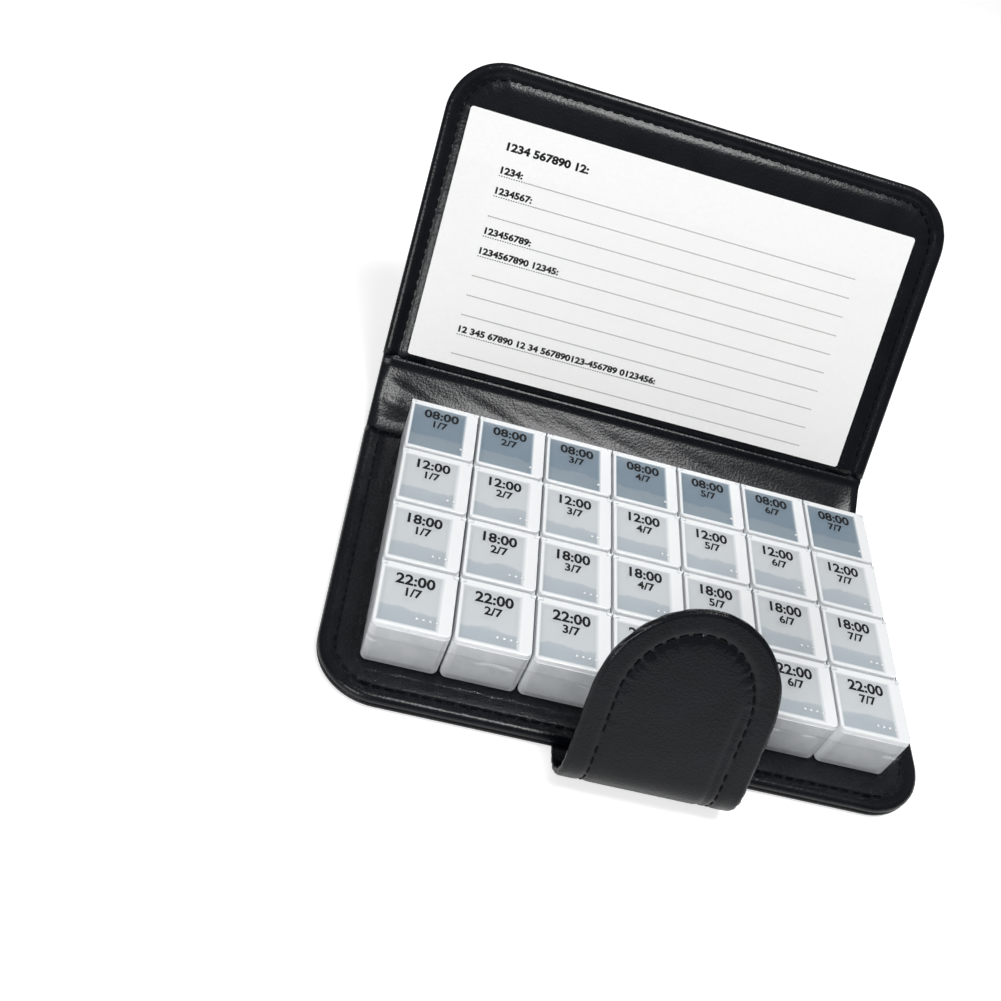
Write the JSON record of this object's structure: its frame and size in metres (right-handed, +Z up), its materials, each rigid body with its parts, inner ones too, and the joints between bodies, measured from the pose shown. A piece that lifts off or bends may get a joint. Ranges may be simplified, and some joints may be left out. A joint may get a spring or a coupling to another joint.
{
  "type": "weekly pill wallet",
  "caption": "Folding leatherette wallet that holds clear plastic day strips with flip-lidded pill compartments, an ID card in a film pocket and a strap that closes it.",
  "frame": {"origin": "middle of the tray half's bottom face, on the table", "axes": "+X along the spine to the user's right, +Y from the strap towards the spine, +Z up"},
  "size_m": [0.184, 0.199, 0.103],
  "materials": {
    "leather": "satin grained",
    "lining": "satin smooth",
    "board": "matt",
    "film": "clear",
    "strip_plastic": "clear, slightly milky",
    "lid_plastic": "clear, slightly milky",
    "card": "matt",
    "steel": "plain",
    "magnet": "plain"
  },
  "bodies": {
    "tray": {"tray_skin": "leather", "tray_board": "board", "tray_lining": "lining", "tray_edge_binding": "leather", "strip_pocket_film": "film", "lower_fold_leather": "leather", "strap_root": "leather", "strap_bend": "leather"},
    "spine": {"spine_skin": "leather", "spine_board": "board", "spine_lining": "lining", "upper_fold_leather": "leather"},
    "cover": {"cover_skin": "leather", "cover_board": "board", "cover_lining": "lining", "cover_edge_binding": "leather", "cover_keeper": "steel", "card_pocket_film": "film"},
    "card": {"id_card": "card"},
    "strap_neck": {"strap_neck": "leather"},
    "strap_tongue": {"strap_tongue": "leather", "strap_tongue_lining": "lining", "strap_magnet": "magnet"},
    "day1_strip": {"day1_strip": "strip_plastic"},
    "day1_bedtime_lid": {"day1_bedtime_lid": "lid_plastic"},
    "day1_evening_lid": {"day1_evening_lid": "lid_plastic"},
    "day1_noon_lid": {"day1_noon_lid": "lid_plastic"},
    "day1_morning_lid": {"day1_morning_lid": "lid_plastic"},
    "day2_strip": {"day2_strip": "strip_plastic"},
    "day2_bedtime_lid": {"day2_bedtime_lid": "lid_plastic"},
    "day2_evening_lid": {"day2_evening_lid": "lid_plastic"},
    "day2_noon_lid": {"day2_noon_lid": "lid_plastic"},
    "day2_morning_lid": {"day2_morning_lid": "lid_plastic"},
    "day3_strip": {"day3_strip": "strip_plastic"},
    "day3_bedtime_lid": {"day3_bedtime_lid": "lid_plastic"},
    "day3_evening_lid": {"day3_evening_lid": "lid_plastic"},
    "day3_noon_lid": {"day3_noon_lid": "lid_plastic"},
    "day3_morning_lid": {"day3_morning_lid": "lid_plastic"},
    "day4_strip": {"day4_strip": "strip_plastic"},
    "day4_bedtime_lid": {"day4_bedtime_lid": "lid_plastic"},
    "day4_evening_lid": {"day4_evening_lid": "lid_plastic"},
    "day4_noon_lid": {"day4_noon_lid": "lid_plastic"},
    "day4_morning_lid": {"day4_morning_lid": "lid_plastic"},
    "day5_strip": {"day5_strip": "strip_plastic"},
    "day5_bedtime_lid": {"day5_bedtime_lid": "lid_plastic"},
    "day5_evening_lid": {"day5_evening_lid": "lid_plastic"},
    "day5_noon_lid": {"day5_noon_lid": "lid_plastic"},
    "day5_morning_lid": {"day5_morning_lid": "lid_plastic"},
    "day6_strip": {"day6_strip": "strip_plastic"},
    "day6_bedtime_lid": {"day6_bedtime_lid": "lid_plastic"},
    "day6_evening_lid": {"day6_evening_lid": "lid_plastic"},
    "day6_noon_lid": {"day6_noon_lid": "lid_plastic"},
    "day6_morning_lid": {"day6_morning_lid": "lid_plastic"},
    "day7_strip": {"day7_strip": "strip_plastic"},
    "day7_bedtime_lid": {"day7_bedtime_lid": "lid_plastic"},
    "day7_evening_lid": {"day7_evening_lid": "lid_plastic"},
    "day7_noon_lid": {"day7_noon_lid": "lid_plastic"},
    "day7_morning_lid": {"day7_morning_lid": "lid_plastic"}
  },
  "joints": [
    {"name": "spine_fold", "type": "hinge", "parent": "tray", "child": "spine", "pos_m": [0, 0.05415, 0.0021], "axis": [-1, 0, 0], "range_deg": [-61, 29], "deforming": ["lower_fold_leather"]},
    {"name": "cover_fold", "type": "hinge", "parent": "spine", "child": "cover", "pos_m": [0, 0.07596, 0.01419], "axis": [-1, 0, 0], "range_deg": [-61, 29], "deforming": ["upper_fold_leather"]},
    {"name": "card_slide", "type": "slide", "parent": "cover", "child": "card", "axis": [0, 0.5299, 0.848], "range_m": [0, 0.09]},
    {"name": "strap_swing", "type": "hinge", "parent": "tray", "child": "strap_neck", "pos_m": [0.0035, -0.05605, 0.011], "axis": [1, 0, 0], "range_deg": [-12, 108], "deforming": ["strap_bend"]},
    {"name": "strap_fold", "type": "hinge", "parent": "strap_neck", "child": "strap_tongue", "pos_m": [0.0035, -0.05592, 0.03332], "axis": [1, 0, 0], "range_deg": [-60, 0]},
    {"name": "day1_strip_lift", "type": "slide", "parent": "tray", "child": "day1_strip", "axis": [0, 0.4695, 0.8829], "range_m": [0, 0.06]},
    {"name": "day1_bedtime_flip", "type": "hinge", "parent": "day1_strip", "child": "day1_bedtime_lid", "pos_m": [-0.0684, -0.0198, 0.02155], "axis": [-1, 0, 0], "range_deg": [0, 105]},
    {"name": "day1_evening_flip", "type": "hinge", "parent": "day1_strip", "child": "day1_evening_lid", "pos_m": [-0.0684, 0.00355, 0.02155], "axis": [-1, 0, 0], "range_deg": [0, 105]},
    {"name": "day1_noon_flip", "type": "hinge", "parent": "day1_strip", "child": "day1_noon_lid", "pos_m": [-0.0684, 0.0269, 0.02155], "axis": [-1, 0, 0], "range_deg": [0, 105]},
    {"name": "day1_morning_flip", "type": "hinge", "parent": "day1_strip", "child": "day1_morning_lid", "pos_m": [-0.0684, 0.05025, 0.02155], "axis": [-1, 0, 0], "range_deg": [0, 105]},
    {"name": "day2_strip_lift", "type": "slide", "parent": "tray", "child": "day2_strip", "axis": [0, 0.4695, 0.8829], "range_m": [0, 0.06]},
    {"name": "day2_bedtime_flip", "type": "hinge", "parent": "day2_strip", "child": "day2_bedtime_lid", "pos_m": [-0.0456, -0.0198, 0.02155], "axis": [-1, 0, 0], "range_deg": [0, 105]},
    {"name": "day2_evening_flip", "type": "hinge", "parent": "day2_strip", "child": "day2_evening_lid", "pos_m": [-0.0456, 0.00355, 0.02155], "axis": [-1, 0, 0], "range_deg": [0, 105]},
    {"name": "day2_noon_flip", "type": "hinge", "parent": "day2_strip", "child": "day2_noon_lid", "pos_m": [-0.0456, 0.0269, 0.02155], "axis": [-1, 0, 0], "range_deg": [0, 105]},
    {"name": "day2_morning_flip", "type": "hinge", "parent": "day2_strip", "child": "day2_morning_lid", "pos_m": [-0.0456, 0.05025, 0.02155], "axis": [-1, 0, 0], "range_deg": [0, 105]},
    {"name": "day3_strip_lift", "type": "slide", "parent": "tray", "child": "day3_strip", "axis": [0, 0.4695, 0.8829], "range_m": [0, 0.06]},
    {"name": "day3_bedtime_flip", "type": "hinge", "parent": "day3_strip", "child": "day3_bedtime_lid", "pos_m": [-0.0228, -0.0198, 0.02155], "axis": [-1, 0, 0], "range_deg": [0, 105]},
    {"name": "day3_evening_flip", "type": "hinge", "parent": "day3_strip", "child": "day3_evening_lid", "pos_m": [-0.0228, 0.00355, 0.02155], "axis": [-1, 0, 0], "range_deg": [0, 105]},
    {"name": "day3_noon_flip", "type": "hinge", "parent": "day3_strip", "child": "day3_noon_lid", "pos_m": [-0.0228, 0.0269, 0.02155], "axis": [-1, 0, 0], "range_deg": [0, 105]},
    {"name": "day3_morning_flip", "type": "hinge", "parent": "day3_strip", "child": "day3_morning_lid", "pos_m": [-0.0228, 0.05025, 0.02155], "axis": [-1, 0, 0], "range_deg": [0, 105]},
    {"name": "day4_strip_lift", "type": "slide", "parent": "tray", "child": "day4_strip", "axis": [0, 0.4695, 0.8829], "range_m": [0, 0.06]},
    {"name": "day4_bedtime_flip", "type": "hinge", "parent": "day4_strip", "child": "day4_bedtime_lid", "pos_m": [0, -0.0198, 0.02155], "axis": [-1, 0, 0], "range_deg": [0, 105]},
    {"name": "day4_evening_flip", "type": "hinge", "parent": "day4_strip", "child": "day4_evening_lid", "pos_m": [0, 0.00355, 0.02155], "axis": [-1, 0, 0], "range_deg": [0, 105]},
    {"name": "day4_noon_flip", "type": "hinge", "parent": "day4_strip", "child": "day4_noon_lid", "pos_m": [0, 0.0269, 0.02155], "axis": [-1, 0, 0], "range_deg": [0, 105]},
    {"name": "day4_morning_flip", "type": "hinge", "parent": "day4_strip", "child": "day4_morning_lid", "pos_m": [0, 0.05025, 0.02155], "axis": [-1, 0, 0], "range_deg": [0, 105]},
    {"name": "day5_strip_lift", "type": "slide", "parent": "tray", "child": "day5_strip", "axis": [0, 0.4695, 0.8829], "range_m": [0, 0.06]},
    {"name": "day5_bedtime_flip", "type": "hinge", "parent": "day5_strip", "child": "day5_bedtime_lid", "pos_m": [0.0228, -0.0198, 0.02155], "axis": [-1, 0, 0], "range_deg": [0, 105]},
    {"name": "day5_evening_flip", "type": "hinge", "parent": "day5_strip", "child": "day5_evening_lid", "pos_m": [0.0228, 0.00355, 0.02155], "axis": [-1, 0, 0], "range_deg": [0, 105]},
    {"name": "day5_noon_flip", "type": "hinge", "parent": "day5_strip", "child": "day5_noon_lid", "pos_m": [0.0228, 0.0269, 0.02155], "axis": [-1, 0, 0], "range_deg": [0, 105]},
    {"name": "day5_morning_flip", "type": "hinge", "parent": "day5_strip", "child": "day5_morning_lid", "pos_m": [0.0228, 0.05025, 0.02155], "axis": [-1, 0, 0], "range_deg": [0, 105]},
    {"name": "day6_strip_lift", "type": "slide", "parent": "tray", "child": "day6_strip", "axis": [0, 0.4695, 0.8829], "range_m": [0, 0.06]},
    {"name": "day6_bedtime_flip", "type": "hinge", "parent": "day6_strip", "child": "day6_bedtime_lid", "pos_m": [0.0456, -0.0198, 0.02155], "axis": [-1, 0, 0], "range_deg": [0, 105]},
    {"name": "day6_evening_flip", "type": "hinge", "parent": "day6_strip", "child": "day6_evening_lid", "pos_m": [0.0456, 0.00355, 0.02155], "axis": [-1, 0, 0], "range_deg": [0, 105]},
    {"name": "day6_noon_flip", "type": "hinge", "parent": "day6_strip", "child": "day6_noon_lid", "pos_m": [0.0456, 0.0269, 0.02155], "axis": [-1, 0, 0], "range_deg": [0, 105]},
    {"name": "day6_morning_flip", "type": "hinge", "parent": "day6_strip", "child": "day6_morning_lid", "pos_m": [0.0456, 0.05025, 0.02155], "axis": [-1, 0, 0], "range_deg": [0, 105]},
    {"name": "day7_strip_lift", "type": "slide", "parent": "tray", "child": "day7_strip", "axis": [0, 0.4695, 0.8829], "range_m": [0, 0.06]},
    {"name": "day7_bedtime_flip", "type": "hinge", "parent": "day7_strip", "child": "day7_bedtime_lid", "pos_m": [0.0684, -0.0198, 0.02155], "axis": [-1, 0, 0], "range_deg": [0, 105]},
    {"name": "day7_evening_flip", "type": "hinge", "parent": "day7_strip", "child": "day7_evening_lid", "pos_m": [0.0684, 0.00355, 0.02155], "axis": [-1, 0, 0], "range_deg": [0, 105]},
    {"name": "day7_noon_flip", "type": "hinge", "parent": "day7_strip", "child": "day7_noon_lid", "pos_m": [0.0684, 0.0269, 0.02155], "axis": [-1, 0, 0], "range_deg": [0, 105]},
    {"name": "day7_morning_flip", "type": "hinge", "parent": "day7_strip", "child": "day7_morning_lid", "pos_m": [0.0684, 0.05025, 0.02155], "axis": [-1, 0, 0], "range_deg": [0, 105]}
  ],
  "couplings": [
    {"joint": "cover_fold", "follows": "spine_fold", "ratio": 1}
  ]
}
